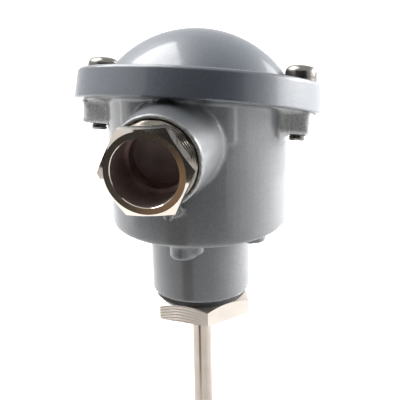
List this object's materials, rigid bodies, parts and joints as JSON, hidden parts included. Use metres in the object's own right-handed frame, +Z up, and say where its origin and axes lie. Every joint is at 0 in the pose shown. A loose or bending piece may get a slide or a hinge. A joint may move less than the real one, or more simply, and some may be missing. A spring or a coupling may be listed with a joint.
{
  "type": "temperature probe",
  "caption": "Resistance temperature probe: a closed thin sheath under a cast connection head with a tilted domed cover, a ceramic terminal block and a cable gland.",
  "frame": {"origin": "centre of the lower face of the hexagon fitting, where the sheath leaves it", "axes": "+Z up along the sheath towards the head, -Y along the cable gland, out of the head, +X to the side of the right cover screw"},
  "size_m": [0.0748, 0.0916, 0.1901],
  "materials": {
    "head_metal": "gloss",
    "rubber": "matte",
    "nickel_plated_brass": "polished",
    "brass": "satin",
    "grey_plastic": "matte",
    "block_ceramic": "satin",
    "oxide_ceramic": "matte",
    "potting": "matte",
    "tinned_wire": "satin",
    "stainless_steel": "satin",
    "zinc_plated_steel": "satin",
    "stainless_screws": "polished"
  },
  "bodies": {
    "head": {"head_body": "head_metal", "gland_dust_disc": "grey_plastic", "gland_seal": "rubber", "neck_seal": "rubber", "hex_fitting": "stainless_steel", "sheath": "stainless_steel", "insulating_core": "oxide_ceramic", "inner_conductors": "tinned_wire", "sensing_element": "oxide_ceramic", "pot_seal": "potting", "terminal_block": "block_ceramic", "earth_screw": "brass", "block_screw_1": "zinc_plated_steel", "block_screw_2": "zinc_plated_steel", "block_washer_1": "zinc_plated_steel", "block_washer_2": "zinc_plated_steel", "terminal_clamp_1": "brass", "terminal_clamp_2": "brass", "terminal_clamp_3": "brass", "terminal_clamp_4": "brass", "terminal_screw_1": "zinc_plated_steel", "terminal_screw_2": "zinc_plated_steel", "terminal_screw_3": "zinc_plated_steel", "terminal_screw_4": "zinc_plated_steel", "lead_wire_1": "tinned_wire", "lead_wire_2": "tinned_wire", "lead_wire_3": "tinned_wire", "lead_wire_4": "tinned_wire"},
    "cover": {"cover": "head_metal", "cover_gasket": "rubber"},
    "left_washer": {"cover_washer_left": "stainless_screws"},
    "left_screw": {"cover_screw_left": "stainless_screws"},
    "right_washer": {"cover_washer_right": "stainless_screws"},
    "right_screw": {"cover_screw_right": "stainless_screws"},
    "slip_ring": {"gland_slip_ring": "brass"},
    "gland_nut": {"gland_nut": "nickel_plated_brass"}
  },
  "joints": [
    {"name": "cover_lift", "type": "slide", "parent": "head", "child": "cover", "axis": [0, 0.3223, 0.9466], "range_m": [0, 0.04]},
    {"name": "left_screw_travel", "type": "slide", "parent": "cover", "child": "left_washer", "axis": [0, 0.3223, 0.9466], "range_m": [0, 0.008]},
    {"name": "left_screw_turn", "type": "hinge", "parent": "left_washer", "child": "left_screw", "pos_m": [-0.03105, 0, 0.0657], "axis": [0, 0.3223, 0.9466], "range_deg": [0, 3600]},
    {"name": "right_screw_travel", "type": "slide", "parent": "cover", "child": "right_washer", "axis": [0, 0.3223, 0.9466], "range_m": [0, 0.008]},
    {"name": "right_screw_turn", "type": "hinge", "parent": "right_washer", "child": "right_screw", "pos_m": [0.03105, 0, 0.0657], "axis": [0, 0.3223, 0.9466], "range_deg": [0, 3600]},
    {"name": "gland_travel", "type": "slide", "parent": "head", "child": "slip_ring", "axis": [0, -1, 0], "range_m": [0, 0.0045]},
    {"name": "gland_turn", "type": "hinge", "parent": "slip_ring", "child": "gland_nut", "pos_m": [0, -0.0385, 0.0618], "axis": [0, -1, 0], "range_deg": [0, 1080]}
  ],
  "couplings": [
    {"joint": "left_screw_turn", "follows": "left_screw_travel", "rad_per_m": 7853},
    {"joint": "right_screw_turn", "follows": "right_screw_travel", "rad_per_m": 7853},
    {"joint": "gland_turn", "follows": "gland_travel", "rad_per_m": 4188}
  ]
}
